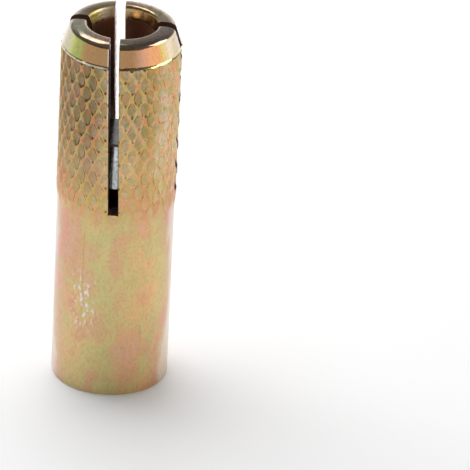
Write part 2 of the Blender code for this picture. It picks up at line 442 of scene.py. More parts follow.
for vertex in ring_points(0):
    place = vertex.co / BURR_GRAIN
    vertex.co.xy *= 1.0 + BURR_WOBBLE * noise.noise(place) / vertex.co.xy.length
    vertex.co.z += BURR_WOBBLE * noise.noise(place * 1.3 + Vector((0.0, 0.0, 5.0)))
for vertex in ring_points(lip_foot_ring):
    vertex.co.z += LIP_WOBBLE * noise.noise(vertex.co / LIP_GRAIN)

# %% Join it to the knurl
only(sleeve)
turned.select_set(True)
bpy.ops.object.join()


def bridge_gap(low, high):
    """Bridge the two open rims that lie between these heights."""
    edit(sleeve, "EDGE")
    bpy.ops.mesh.select_non_manifold(
        extend=False,
        use_wire=False,
        use_boundary=True,
        use_multi_face=False,
        use_non_contiguous=False,
        use_verts=False,
    )
    bpy.ops.object.mode_set(mode="OBJECT")
    points = sleeve.data.vertices
    for edge in sleeve.data.edges:
        if edge.select and not low < points[edge.vertices[0]].co.z < high:
            edge.select = False
    for vertex in points:
        vertex.select = False
    bpy.ops.object.mode_set(mode="EDIT")
    bpy.ops.mesh.bridge_edge_loops()


bridge_gap(sheet_top - 2 * MM, tip)
bridge_gap(sheet_foot - MM, sheet_foot + MM)
bpy.ops.mesh.select_all(action="SELECT")
bpy.ops.mesh.normals_make_consistent(inside=False)
bpy.ops.object.mode_set(mode="OBJECT")
print("sleeve", count_triangles(sleeve), "triangles")

# %% [markdown]
# ## The thread
#
# The mouth is tapped for an M10 bolt: 1.5 mm from turn to turn, flanks at 60 degrees. A Screw
# modifier sweeps the groove's section up a helix, and a Boolean takes it out of the bore. Over
# the last half turn the section shrinks, so the groove runs out softly as a real one does.

# %% The tap
THREAD_PITCH = 1.5 * MM
THREAD_RADIUS = 5.0 * MM
THREAD_LENGTH = 15.0 * MM
THREAD_STEPS = 40
THREAD_HALF_ANGLE = math.radians(30)
TAP_INNER_RADIUS = BORE_RADIUS - 0.3 * MM

root_half = THREAD_PITCH / 16
inner_half = root_half + (THREAD_RADIUS - TAP_INNER_RADIUS) * math.tan(THREAD_HALF_ANGLE)
turns = round((THREAD_LENGTH + THREAD_PITCH) / THREAD_PITCH)
bpy.ops.object.select_all(action="DESELECT")
bpy.ops.mesh.primitive_plane_add(size=1.0)
tap = bpy.context.object
section = [
    (TAP_INNER_RADIUS, -inner_half),
    (THREAD_RADIUS, -root_half),
    (THREAD_RADIUS, root_half),
    (TAP_INNER_RADIUS, inner_half),
]
corners = [tap.data.vertices[i] for i in (0, 1, 3, 2)]
for corner, (corner_radius, corner_height) in zip(corners, section):
    corner.co = (corner_radius, 0.0, corner_height - THREAD_PITCH)
edit(tap, "FACE")
bpy.ops.mesh.select_all(action="SELECT")
bpy.ops.mesh.delete(type="ONLY_FACE")
apply_modifier(
    tap,
    "SCREW",
    axis="Z",
    angle=2 * math.pi,
    screw_offset=THREAD_PITCH,
    iterations=turns,
    steps=THREAD_STEPS,
    render_steps=THREAD_STEPS,
    use_merge_vertices=False,
)

# %% Let the thread run out
run_out = THREAD_STEPS // 2
last_step = len(tap.data.vertices) // len(section) - 1
for vertex in tap.data.vertices:
    step = vertex.index // len(section)
    share = min(1.0, (last_step - step + 1) / run_out)
    shrunk_radius = TAP_INNER_RADIUS + (vertex.co.xy.length - TAP_INNER_RADIUS) * share
    vertex.co.xy = vertex.co.xy.normalized() * shrunk_radius
edit(tap, "EDGE")
bpy.ops.mesh.select_non_manifold()
bpy.ops.mesh.fill_holes(sides=4)
bpy.ops.mesh.select_all(action="SELECT")
bpy.ops.mesh.normals_make_consistent(inside=False)
bpy.ops.object.mode_set(mode="OBJECT")
print("tap", count_triangles(tap), "triangles")

# %% Cut the thread
def cut_away(thing, cutter):
    """Take the cutter's shape out of the thing for good."""
    apply_modifier(thing, "BOOLEAN", operation="DIFFERENCE", solver="EXACT", object=cutter)
    bpy.data.objects.remove(cutter)


cut_away(sleeve, tap)
print("sleeve with its thread", count_triangles(sleeve), "triangles")

# %% [markdown]
# ## The slots
#
# Two saw cuts cross at the tip and run 19 mm down, so the knurled half has four legs. Neither cut
# is quite true: one leans by almost two degrees, the other is turned by five. The saw is a thin
# block, and a Boolean takes it away.

# %% Two saw cuts
SLOT_LENGTH = 19.0 * MM
SLOT_WIDTH = 1.04 * MM
SLEEVE_SMOOTH_ANGLE = math.radians(38)
# name, turn round the axis, lean to the side, distance from the axis
SAW_CUTS = (
    ("front", math.radians(-1.7), math.radians(-1.8), 0.1 * MM),
    ("side", math.radians(84.8), 0.0, 0.3 * MM),
)

slot_foot = tip - SLOT_LENGTH
for name, turn_angle, lean, offset in SAW_CUTS:
    bpy.ops.object.select_all(action="DESELECT")
    bpy.ops.mesh.primitive_cube_add(size=1.0)
    saw = bpy.context.object
    edit(saw)
    bpy.ops.mesh.select_all(action="SELECT")
    bpy.ops.transform.resize(value=(SLOT_WIDTH, 4 * SHANK_RADIUS, 2 * SLOT_LENGTH))
    bpy.ops.transform.translate(value=(offset, 0.0, SLOT_LENGTH))
    bpy.ops.object.mode_set(mode="OBJECT")
    saw.location.z = slot_foot
    saw.rotation_euler = (0.0, lean, turn_angle)
    cut_away(sleeve, saw)
    print("sleeve with its", name, "saw cut", count_triangles(sleeve), "triangles")
only(sleeve)
bpy.ops.object.shade_smooth_by_angle(angle=SLEEVE_SMOOTH_ANGLE)

# %% [markdown]
# ## The expander plug
#
# A short turned cone with a straight band at its foot. It lies small end up behind the front slot,
# where its upright side catches the light. It is made like the sleeve, from a circle.

# %% Turn the plug
PLUG_BAND = 1.7 * MM
PLUG_CHAMFER = 0.18 * MM
PLUG_TIP_RADIUS = 3.0 * MM
PLUG_TIP_FLARE = 0.05 * MM
PLUG_CENTRE_RADIUS = 0.2 * MM
PLUG_STEPS = 160
PLUG_SMOOTH_ANGLE = math.radians(20)

plug_radius = (plug_high.y - plug_low.y) / 2
plug_outline = [
    (PLUG_CENTRE_RADIUS, plug_low.z),
    (plug_radius - PLUG_CHAMFER, plug_low.z),
    (plug_radius, plug_low.z + PLUG_CHAMFER),
    (plug_radius, plug_low.z + PLUG_BAND),
    (PLUG_TIP_RADIUS + PLUG_TIP_FLARE, plug_high.z - PLUG_CHAMFER),
    (PLUG_TIP_RADIUS - PLUG_CHAMFER, plug_high.z),
    (PLUG_CENTRE_RADIUS, plug_high.z),
]
plug = turn_outline(plug_outline, PLUG_STEPS)
plug.name = "turned_plug"
edit(plug, "EDGE")
bpy.ops.mesh.select_non_manifold()
bpy.ops.mesh.fill_holes(sides=0)
bpy.ops.mesh.select_all(action="SELECT")
bpy.ops.mesh.normals_make_consistent(inside=False)
bpy.ops.object.mode_set(mode="OBJECT")
bpy.ops.object.shade_smooth_by_angle(angle=PLUG_SMOOTH_ANGLE)
print("plug", count_triangles(plug), "triangles")

# %% Put both on their bodies
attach(sleeve, "sleeve")
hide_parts("sleeve")
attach(plug, "plug")
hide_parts("expander_plug")

# %% [markdown]
# ## Building materials from nodes
#
# Every finish below is a chain of a few kinds of node. These helpers add one node each and give
# back its output, so that a material reads as a list of what is laid on what. An input that is
# given another node's output is linked to it, and any other is set as a value.

# %% Helpers for nodes
def srgb(red, green, blue):
    """The linear colour for the 0 to 255 values of a colour as seen on a screen."""
    linear = []
    for value in (red, green, blue):
        share = value / 255
        linear.append(share / 12.92 if share <= 0.04045 else ((share + 0.055) / 1.055) ** 2.4)
    return (*linear, 1.0)


def node(tree, kind, output=0, settings=None, **inputs):
    """Add a node, fill its inputs by name (with _ for a space) and return one output."""
    made = tree.nodes.new("ShaderNode" + kind)
    for name, value in (settings or {}).items():
        setattr(made, name, value)
    for name, value in inputs.items():
        socket = made.inputs[name.replace("_", " ")]
        if isinstance(value, bpy.types.NodeSocket):
            tree.links.new(value, socket)
        else:
            socket.default_value = value
    return made.outputs[output]


def lay(tree, share, under, over, mode="MIX"):
    """One colour laid over another, as far as the share says."""
    return node(tree, "Mix", "Result", {"data_type": "RGBA", "blend_type": mode},
                Factor=share, A=under, B=over)


def maths(tree, operation, first, second=0.0):
    """A Math node on one or two values."""
    made = tree.nodes.new("ShaderNodeMath")
    made.operation = operation
    for socket, value in zip(made.inputs, (first, second)):
        if isinstance(value, bpy.types.NodeSocket):
            tree.links.new(value, socket)
        else:
            socket.default_value = value
    return made.outputs[0]


def times(tree, *values):
    """The product of two or more values."""
    product = values[0]
    for value in values[1:]:
        product = maths(tree, "MULTIPLY", product, value)
    return product


def plus(tree, first, second):
    """The sum of two values."""
    return maths(tree, "ADD", first, second)


def minus(tree, first, second):
    """The first value less the second."""
    return maths(tree, "SUBTRACT", first, second)


def larger(tree, first, second):
    """The larger of two values."""
    return maths(tree, "MAXIMUM", first, second)


def rise(tree, value, start, end):
    """0 at the start value, 1 at the end value, with a smooth rise between them."""
    return node(tree, "MapRange", 0, {"interpolation_type": "SMOOTHSTEP"},
                Value=value, From_Min=start, From_Max=end)


def band(tree, value, low, high, soft):
    """1 between two values, with soft sides."""
    up = rise(tree, value, low - soft, low + soft)
    down = rise(tree, value, high + soft, high - soft)
    return times(tree, up, down)


def grain(tree, place, size, stretch=1.0, detail=2.0, seed=0.0):
    """Noise from 0 to 1 with spots of this size, drawn out along the axis by stretch."""
    spot = 1.0 / size
    moved = node(tree, "Mapping", 0, Vector=place, Location=(seed, seed, seed),
                 Scale=(spot, spot, spot / stretch))
    return node(tree, "TexNoise", "Fac", Vector=moved, Scale=1.0, Detail=detail, Roughness=0.55)


def colour_ramp(tree, value, stops):
    """A ramp through (position, colour) stops."""
    made = tree.nodes.new("ShaderNodeValToRGB")
    ramp = made.color_ramp
    ramp.elements[0].position, ramp.elements[0].color = stops[0]
    ramp.elements[1].position, ramp.elements[1].color = stops[-1]
    for position, colour in stops[1:-1]:
        ramp.elements.new(position).color = colour
    tree.links.new(value, made.inputs["Fac"])
    return made.outputs["Color"]


def new_material(name):
    """A material with its tree and its Principled shader."""
    material = bpy.data.materials.new(name)
    material.use_nodes = True
    return material, material.node_tree, material.node_tree.nodes["Principled BSDF"]


# %% [markdown]
# ## Yellow zinc
#
# The plating is zinc under a thin chromate film, and the film's thickness makes its colour, as on
# a soap bubble: olive and tan mostly, with salmon, leaf green, gold and lilac where it is thinner
# or thicker. The colour therefore wanders round the sleeve and along it. Here the place round the
# axis runs through a colour ramp, noise bends the borders, and a second noise brings in the
# other film colours as patches. Object coordinates fix it to the metal.

# %% Film colours round the sleeve
LILAC = srgb(234, 218, 216)
CREAM = srgb(242, 224, 192)
SAGE = srgb(186, 180, 150)
HONEY = srgb(220, 190, 136)
APRICOT = srgb(238, 192, 138)
SHELL = srgb(250, 212, 168)
PINK = srgb(216, 162, 152)
SALMON = srgb(214, 160, 132)
PEACH = srgb(244, 172, 120)
GOLD = srgb(238, 216, 124)
LEAF = srgb(200, 202, 140)
MOSS = srgb(160, 168, 94)
OLIVE = srgb(202, 186, 130)
TAN = srgb(206, 176, 130)
SAND = srgb(216, 196, 156)
DUN = srgb(162, 144, 117)
BRONZE = srgb(166, 126, 88)
UMBER_SLOT_SHADE = srgb(96, 66, 50)
PALE_HIGHLIGHT = srgb(250, 240, 214)


def turn_share(azimuth_deg):
    """A direction round the sleeve, from -180 to 180 degrees, as a share of the turn."""
    return (azimuth_deg + 180) / 360


def round_the_axis(stops):
    """Ramp stops from pairs of a direction in degrees and a colour."""
    return [(turn_share(azimuth_deg), colour) for azimuth_deg, colour in stops]


SHANK_FILM = round_the_axis([
    (-180, LILAC), (-172, LILAC), (-162, PINK), (-148, SALMON), (-138, TAN), (-118, TAN),
    (-106, OLIVE), (-94, OLIVE), (-80, HONEY), (-58, APRICOT), (-44, HONEY), (-28, SALMON),
    (-16, LILAC), (20, SALMON), (55, OLIVE), (90, HONEY), (120, OLIVE), (150, SALMON), (180, LILAC),
])
# Round the knurl the film is painted darker on the left and lighter at the front right: painted
# shade and painted light laid into the film's own colours.
KNURL_FILM_AND_PAINTED_LIGHT = round_the_axis([
    (-180, SAGE), (-164, DUN), (-118, DUN), (-96, SAND), (-74, SAND), (-56, HONEY), (-40, CREAM),
    (-28, SHELL), (-10, CREAM), (40, TAN), (90, SAND), (140, OLIVE), (180, SAGE),
])
NOSE_FILM = round_the_axis([
    (-180, LILAC), (-167, SAGE), (-157, SAGE), (-148, MOSS), (-135, MOSS), (-127, BRONZE),
    (-76, BRONZE), (-66, SALMON), (-58, PEACH), (-50, PEACH), (-44, GOLD), (-36, CREAM),
    (-18, CREAM), (0, LILAC), (45, OLIVE), (90, SALMON), (140, LEAF), (180, LILAC),
])
RIM_FILM = round_the_axis([
    (-180, srgb(210, 204, 184)), (-160, srgb(214, 210, 190)), (-135, srgb(206, 194, 172)),
    (-118, srgb(222, 190, 168)), (-100, srgb(222, 190, 168)), (-88, srgb(176, 166, 146)),
    (-55, srgb(162, 146, 130)), (-10, srgb(186, 168, 160)), (35, srgb(206, 190, 160)),
    (62, srgb(226, 200, 170)), (80, srgb(214, 190, 166)), (110, srgb(190, 176, 146)),
    (150, srgb(170, 150, 124)), (180, srgb(210, 204, 184)),
])

# %% Where a point of the surface lies
OUTSIDE_RADII = (5.0 * MM, 5.1 * MM)
KNURL_EDGE = 0.1 * MM

yellow_zinc, tree, shader = new_material("yellow_zinc")
place = node(tree, "TexCoord", "Object")
axes = tree.nodes.new("ShaderNodeSeparateXYZ")
tree.links.new(place, axes.inputs["Vector"])
height = axes.outputs["Z"]
flat_place = node(tree, "CombineXYZ", 0, X=axes.outputs["X"], Y=axes.outputs["Y"])
radius = node(tree, "VectorMath", "Value", {"operation": "LENGTH"}, Vector=flat_place)
azimuth = maths(tree, "ARCTAN2", axes.outputs["Y"], axes.outputs["X"])
turned_share = plus(tree, maths(tree, "DIVIDE", azimuth, 2 * math.pi), 0.5)
outside = rise(tree, radius, *OUTSIDE_RADII)


def turn_band(low_deg, high_deg, soft):
    """1 between two directions round the axis, with soft sides in shares of the turn."""
    return band(tree, turned_share, turn_share(low_deg), turn_share(high_deg), soft)


# %% The shank's film
DRIFT_SIZE = 4.5 * MM
WANDER = 0.2
PATCH_SIZE = 3.2 * MM
PATCH_SHARE = 0.45

drift = grain(tree, place, DRIFT_SIZE, stretch=1.8)
wander = times(tree, minus(tree, drift, 0.5), WANDER)
drift_side = rise(tree, drift, 0.4, 0.6)
film = colour_ramp(tree, plus(tree, turned_share, wander), SHANK_FILM)
patches = colour_ramp(tree, grain(tree, place, PATCH_SIZE, stretch=1.5, detail=3.0, seed=3.0), [
    (0.34, SALMON), (0.40, HONEY), (0.46, OLIVE), (0.50, LEAF), (0.54, OLIVE), (0.60, SALMON),
    (0.68, PINK),
])
colour = lay(tree, PATCH_SHARE, film, patches)

# %% [markdown]
# The knurl is coloured by how far it stands out: its crests are worn to orange and gold, and the
# film is thick and dark down in the grooves, where painted shade darkens it further. Each diamond
# also has a tint of its own, and the pads at the front right are greyer with painted shade. Radius
# alone tells crest, pad and groove apart.

# %% The knurl's film, with painted shade and painted light
KNURL_FILM_HEIGHTS = (19.5 * MM, 24.5 * MM)
KNURL_SHARE_HEIGHTS = (24.0 * MM, 31.0 * MM)
KNURL_LEAST_SHARE = 0.55
KNURL_HEIGHT_WANDER = 12.0 * MM
KNURL_FILM_WANDER = 0.4
CREST_RADII = (6.03 * MM, 6.10 * MM)
GROOVE_RADII = (5.91 * MM, 5.84 * MM)
CREST_SHARE = 0.5
GROOVE_SHADE_SHARE = 0.85
GROOVE_FILM_AND_SHADE = srgb(90, 70, 46)
DIAMOND_SIZE = 0.9 * MM
DIAMOND_SHARE = 0.9
CREST_SPOT_SIZE = 1.5 * MM

knurl_top = rise(tree, height, knurl_end + KNURL_EDGE, knurl_end + KNURL_EDGE / 2)
ragged_height = plus(tree, height, times(tree, wander, KNURL_HEIGHT_WANDER))
climb = times(tree, rise(tree, height, *KNURL_SHARE_HEIGHTS), 1.0 - KNURL_LEAST_SHARE)
knurl_zone = times(tree, rise(tree, ragged_height, *KNURL_FILM_HEIGHTS), knurl_top, outside,
                   plus(tree, KNURL_LEAST_SHARE, climb))
crest = rise(tree, radius, *CREST_RADII)
groove = rise(tree, radius, *GROOVE_RADII)
diamond_shade = colour_ramp(tree, grain(tree, place, DIAMOND_SIZE, stretch=1.6, seed=9.0), [
    (0.32, srgb(255, 212, 196)), (0.41, srgb(246, 222, 184)), (0.47, srgb(210, 214, 172)),
    (0.53, srgb(222, 230, 222)), (0.60, srgb(255, 240, 246)), (0.68, srgb(255, 214, 190)),
])
crest_shade = colour_ramp(tree, grain(tree, place, CREST_SPOT_SIZE, seed=5.0), [
    (0.38, srgb(228, 150, 92)), (0.46, srgb(220, 178, 104)), (0.53, srgb(208, 194, 112)),
    (0.60, srgb(232, 160, 104)),
])
knurl_place = plus(tree, turned_share, times(tree, wander, KNURL_FILM_WANDER))
knurl_film_and_painted_light = colour_ramp(tree, knurl_place, KNURL_FILM_AND_PAINTED_LIGHT)
knurl_film_and_painted_light = lay(tree, DIAMOND_SHARE, knurl_film_and_painted_light, diamond_shade, "MULTIPLY")

# %% Painted shade on pads and grooves, and worn crests
PAD_SHADE_RADII = (6.02 * MM, 5.92 * MM)
PAD_SHADE_SHARE = 0.6
PAD_SHADE_TINT = srgb(208, 214, 214)
FRONT_RIGHT = (0.0, 3.6 * MM)
FRONT_RIGHT_SOFT = 1.4 * MM
UPPER_HEIGHTS = (26.0 * MM, 33.0 * MM)
UPPER_GREY = srgb(240, 240, 244)

# Painted shade: the pads at the front right are multiplied darker, between the ridges.
front_right = band(tree, axes.outputs["X"], *FRONT_RIGHT, FRONT_RIGHT_SOFT)
pad_painted_shade = times(tree, rise(tree, radius, *PAD_SHADE_RADII), front_right, PAD_SHADE_SHARE)
knurl_film_and_painted_light = lay(tree, pad_painted_shade, knurl_film_and_painted_light, PAD_SHADE_TINT, "MULTIPLY")
knurl_film_and_painted_light = lay(tree, rise(tree, height, *UPPER_HEIGHTS), knurl_film_and_painted_light, UPPER_GREY, "MULTIPLY")
knurl_film_and_painted_light = lay(tree, times(tree, crest, CREST_SHARE), knurl_film_and_painted_light, crest_shade)
# Painted shade and thicker film: the grooves are laid over with dark brown.
knurl_film_and_painted_light = lay(tree, times(tree, groove, GROOVE_SHADE_SHARE), knurl_film_and_painted_light, GROOVE_FILM_AND_SHADE)
colour = lay(tree, knurl_zone, colour, knurl_film_and_painted_light)

# %% [markdown]
# Where the knurl fades out, the last low crests keep a gold or salmon line, and a pinkish seam of
# ragged spots runs round the sleeve.

# %% Low crests and the pinkish seam
LOW_CREST_RADII = (5.99 * MM, 6.05 * MM)
LOW_CREST_HEIGHTS = (20.0 * MM, 24.5 * MM)
LOW_CREST_SOFT = 1.0 * MM
LOW_CREST_SHARE = 0.55
SEAM_HEIGHTS = (20.2 * MM, 23.0 * MM)
SEAM_SOFT = 1.2 * MM
SEAM_SPOT_SIZE = 1.1 * MM
SEAM_FILM_SHARE = 0.45
SEAM_PINK = srgb(226, 158, 128)

low_crest = times(tree, rise(tree, radius, *LOW_CREST_RADII),
                  band(tree, height, *LOW_CREST_HEIGHTS, LOW_CREST_SOFT), LOW_CREST_SHARE)
low_crest_film = lay(tree, drift_side, srgb(204, 178, 96), srgb(220, 142, 100))
colour = lay(tree, low_crest, colour, low_crest_film)
seam_spots = grain(tree, place, SEAM_SPOT_SIZE, stretch=1.4, detail=3.0, seed=6.0)
seam = times(tree, band(tree, height, *SEAM_HEIGHTS, SEAM_SOFT), outside,
             rise(tree, seam_spots, 0.45, 0.6), SEAM_FILM_SHARE)
colour = lay(tree, seam, colour, SEAM_PINK)

# %% [markdown]
# The nose band is smoother than the knurl and shows its film in wide bands. The flat rim on top
# is streaked with grey. The burr under the nose gets a painted highlight, pale at the left, dark at
# the middle front and bright yellow at the right, with dull gaps.

# %% Nose and rim
NOSE_WANDER = 0.25
NOSE_PATCH_SHARE = 0.1
RIM_HEIGHTS = (39.55 * MM, 39.75 * MM)
STREAK_SIZE = 0.6 * MM
STREAK_SHARE = 0.35
STREAK_GREY = srgb(116, 108, 96)

nose_zone = times(tree, rise(tree, height, knurl_end + KNURL_EDGE, nose_foot), outside)
nose_place = plus(tree, turned_share, times(tree, wander, NOSE_WANDER))
nose_film = lay(tree, NOSE_PATCH_SHARE, colour_ramp(tree, nose_place, NOSE_FILM), patches)
colour = lay(tree, nose_zone, colour, nose_film)

streaks = rise(tree, grain(tree, place, STREAK_SIZE, detail=3.0, seed=21.0), 0.5, 0.64)
rim_film = colour_ramp(tree, nose_place, RIM_FILM)
rim_film = lay(tree, times(tree, streaks, STREAK_SHARE), rim_film, STREAK_GREY)
colour = lay(tree, rise(tree, height, *RIM_HEIGHTS), colour, rim_film)

# %% The burr under the nose
BURR_RADII = (6.0 * MM, 6.05 * MM)
BURR_LOW_GAP = 0.05 * MM
BURR_SOFT = 0.03 * MM
BURR_GAP_SIZE = 0.5 * MM
BURR_GAP_SHARE = 0.6
BURR_MATT = 0.75

burr_zone = times(tree, band(tree, height, knurl_end + BURR_LOW_GAP, nose_foot, BURR_SOFT),
                  rise(tree, radius, *BURR_RADII))
# Painted highlight: pale at the left and bright yellow at the right, where the lamps catch the
# burr, and darker between them at the middle front.
burr_painted_highlight = colour_ramp(tree, turned_share, round_the_axis([
    (-180, PALE_HIGHLIGHT), (-104, PALE_HIGHLIGHT), (-88, srgb(150, 130, 84)), (-70, srgb(240, 238, 150)),
    (-20, srgb(236, 230, 140)), (180, PALE_HIGHLIGHT),
]))
burr_gaps = rise(tree, grain(tree, place, BURR_GAP_SIZE, detail=3.0, seed=31.0), 0.52, 0.6)
burr_painted_highlight = lay(tree, times(tree, burr_gaps, BURR_GAP_SHARE), burr_painted_highlight, DUN)
colour = lay(tree, burr_zone, colour, burr_painted_highlight)
left_side = rise(tree, turned_share, turn_share(-98), turn_share(-106))
burr_matt = times(tree, burr_zone, left_side, BURR_MATT)

# %% Lip and bore
BORE_RADII = (5.08 * MM, 4.4 * MM)
BORE_HEIGHTS = (38.9 * MM, 38.5 * MM)
BORE_MATT = 0.5
LIP_RADII = (3.85 * MM, 3.65 * MM)
LIP_HEIGHTS = (38.8 * MM, 38.9 * MM)
LIP_GRIT_SIZE = 0.5 * MM
LIP_GRIT_SHARE = 0.4
TORN_SIDE_DEG = (94, 170)
TORN_SOFT = 0.01
TORN_MATT = 0.3

bore_zone = times(tree, rise(tree, radius, *BORE_RADII), rise(tree, height, *BORE_HEIGHTS))
bore_film = lay(tree, drift_side, srgb(176, 118, 92), srgb(122, 98, 70))
colour = lay(tree, bore_zone, colour, bore_film)

lip_zone = times(tree, rise(tree, radius, *LIP_RADII), rise(tree, height, *LIP_HEIGHTS))
# The back left of the lip wall is painted cream and gold, lighter than the tan round the rest: the
# film's own colour with painted light from the right.
lip_film_and_light = colour_ramp(tree, turned_share, round_the_axis([
    (-180, SAND), (10, TAN), (84, TAN), (94, APRICOT), (120, CREAM), (145, GOLD), (165, GOLD),
    (180, SAND),
]))
lip_grit = grain(tree, place, LIP_GRIT_SIZE, stretch=0.35, detail=4.0, seed=8.0)
lip_dirt = times(tree, rise(tree, lip_grit, 0.45, 0.6), LIP_GRIT_SHARE)
colour = lay(tree, lip_zone, colour, lay(tree, lip_dirt, lip_film_and_light, BRONZE))
torn = times(tree, lip_zone, turn_band(*TORN_SIDE_DEG, TORN_SOFT))
matt = larger(tree, times(tree, bore_zone, BORE_MATT), times(tree, torn, TORN_MATT))
matt = larger(tree, matt, burr_matt)

# %% [markdown]
# A wall is found by its distance from the saw's middle plane. Most walls are dull, and dark umber
# as painted shade inside the narrow slots. Those that show through the front slot, from behind it,
# are bright with a few dull specks. Along one side of each slot a thin pale line runs down the
# edge, as a painted highlight.

# %% Walls and edges of the slots
EDGE_LINE = 0.11 * MM
EDGE_SOFT = 0.02 * MM
EDGE_HIGHLIGHT_SHARE = 0.85
EDGE_RADII = (5.35 * MM, 5.45 * MM)
EDGE_HEIGHTS = (28.0 * MM, 34.0 * MM)
WALL_REACHES = (SLOT_WIDTH / 2 + 0.02 * MM, SLOT_WIDTH / 2 + 0.01 * MM)
SPECK_SIZE = 0.4 * MM
BRIGHT_FROM = (-4.4 * MM, -4.2 * MM)

specks = rise(tree, grain(tree, place, SPECK_SIZE, seed=17.0), 0.55, 0.58)
behind_front = rise(tree, axes.outputs["Y"], *BRIGHT_FROM)
front_dull_and_shaded = larger(tree, minus(tree, 1.0, behind_front), specks)
in_slot = rise(tree, height, slot_foot - EDGE_SOFT, slot_foot)
for name, turn_angle, lean, offset in SAW_CUTS:
    saw_turn = Matrix.Rotation(turn_angle, 3, "Z") @ Matrix.Rotation(lean, 3, "Y")
    across = saw_turn @ Vector((1.0, 0.0, 0.0))
    along_saw = node(tree, "VectorMath", "Value", {"operation": "DOT_PRODUCT"}, Vector=place)
    along_saw.node.inputs[1].default_value = across
    from_middle = minus(tree, along_saw, offset + slot_foot * across.z)
    off_middle = maths(tree, "ABSOLUTE", from_middle)
    wall = times(tree, rise(tree, off_middle, *WALL_REACHES), in_slot)
    # Painted shade: dull walls are laid dark umber, for the shade inside the slots.
    dull_and_shaded = front_dull_and_shaded if name == "front" else 1.0
    colour = lay(tree, wall, colour, lay(tree, dull_and_shaded, LILAC, UMBER_SLOT_SHADE))
    matt = larger(tree, matt, times(tree, wall, dull_and_shaded))
    # Painted highlight: a thin pale line along one edge of each slot.
    edge_strip = (-SLOT_WIDTH / 2 - EDGE_LINE, -SLOT_WIDTH / 2 - EDGE_SOFT)
    edge = times(tree, band(tree, from_middle, *edge_strip, EDGE_SOFT),
                 rise(tree, radius, *EDGE_RADII), rise(tree, height, *EDGE_HEIGHTS), EDGE_HIGHLIGHT_SHARE)
    colour = lay(tree, edge, colour, LILAC)

# %% [markdown]
# Last come the marks of making and handling: fine mottling, a draw line down the shank, and
# rubbed spots where the film is scraped to bright metal.

# %% Marks
MOTTLE_SIZE = 0.22 * MM
DRAW_LINE_DEG = (-119.8, -118.8)
DRAW_LINE_SOFT = 0.001
DRAW_LINE_HEIGHTS = (8.0 * MM, 19.0 * MM)
DRAW_LINE_ENDS = 1.5 * MM
DRAW_LINE_SHARE = 0.5
DRAW_LINE_GOLD = srgb(188, 138, 76)
RUBBED_DEG = (-132, -106)
RUBBED_SOFT = 0.025
RUBBED_HEIGHTS = (7.5 * MM, 13.5 * MM)
RUBBED_ENDS = 1.8 * MM
RUBBED_SHARE = 0.7
RUBBED_BRIGHT = srgb(230, 220, 232)
FLECK_SIZE = 0.28 * MM

mottle = grain(tree, place, MOTTLE_SIZE, stretch=1.5, detail=3.0, seed=1.0)
mottle_tint = colour_ramp(tree, mottle, [
    (0.34, srgb(240, 237, 230)), (0.5, srgb(252, 251, 250)), (0.66, srgb(255, 255, 255)),
])
colour = lay(tree, 1.0, colour, mottle_tint, "MULTIPLY")

draw_line = times(tree, turn_band(*DRAW_LINE_DEG, DRAW_LINE_SOFT),
                  band(tree, height, *DRAW_LINE_HEIGHTS, DRAW_LINE_ENDS), DRAW_LINE_SHARE)
colour = lay(tree, draw_line, colour, DRAW_LINE_GOLD)

flecks = rise(tree, grain(tree, place, FLECK_SIZE, stretch=2.2, detail=3.0, seed=12.0), 0.55, 0.63)
rubbed = times(tree, turn_band(*RUBBED_DEG, RUBBED_SOFT),
               band(tree, height, *RUBBED_HEIGHTS, RUBBED_ENDS), flecks, RUBBED_SHARE)
colour = lay(tree, rubbed, colour, RUBBED_BRIGHT)
tree.links.new(colour, shader.inputs["Base Color"])

# %% [markdown]
# Bright zinc is metal and mirrors like metal, but torn and sawn places scatter light, so they are
# less metallic and rougher. The mottling makes the gloss uneven, and a faint bump gives the
# surface its waviness. The turned nose is glossier and smoother than the rest.

# %% Gloss and bump
GLOSSIEST = 0.16
DULLEST = 0.27
MATT_LESS_METAL = 0.85
MATT_ROUGHNESS = 0.4
NOSE_SMOOTHNESS = 0.45
WAVE_SIZE = 0.45 * MM
KNURL_GRIT_SIZE = 0.25 * MM
KNURL_GRIT_RELIEF = 2.5
TORN_RELIEF = 12.0
BUMP_HEIGHT = 0.02 * MM

less_metal = times(tree, matt, MATT_LESS_METAL)
tree.links.new(minus(tree, 1.0, less_metal), shader.inputs["Metallic"])
uneven_gloss = node(tree, "MapRange", 0, Value=mottle, From_Min=0.3, From_Max=0.7,
                    To_Min=GLOSSIEST, To_Max=DULLEST)
turned_gloss = minus(tree, 1.0, times(tree, nose_zone, NOSE_SMOOTHNESS))
roughness = plus(tree, times(tree, uneven_gloss, turned_gloss), times(tree, matt, MATT_ROUGHNESS))
tree.links.new(roughness, shader.inputs["Roughness"])

waves = grain(tree, place, WAVE_SIZE, stretch=1.3, detail=3.0, seed=2.0)
knurl_grit = grain(tree, place, KNURL_GRIT_SIZE, detail=3.0, seed=14.0)
relief = plus(tree, times(tree, waves, turned_gloss),
              times(tree, knurl_grit, knurl_zone, KNURL_GRIT_RELIEF))
relief = plus(tree, relief, times(tree, lip_grit, torn, TORN_RELIEF))
bump = node(tree, "Bump", 0, Strength=0.25, Distance=BUMP_HEIGHT, Height=relief)
tree.links.new(bump, shader.inputs["Normal"])
sleeve.data.materials.clear()
sleeve.data.materials.append(yellow_zinc)
print("yellow zinc has", len(tree.nodes), "nodes")

# %% [markdown]
# ## Blue zinc
#
# The plug has the clear blue-white kind of zinc, over fine rings that the lathe left.

# %% The blue zinc material
BLUE_SPOT_SIZE = 0.3 * MM
BLUE_ROUGHNESS = 0.16
LATHE_RING_SIZE = 0.25 * MM
LATHE_RING_HEIGHT = 0.01 * MM

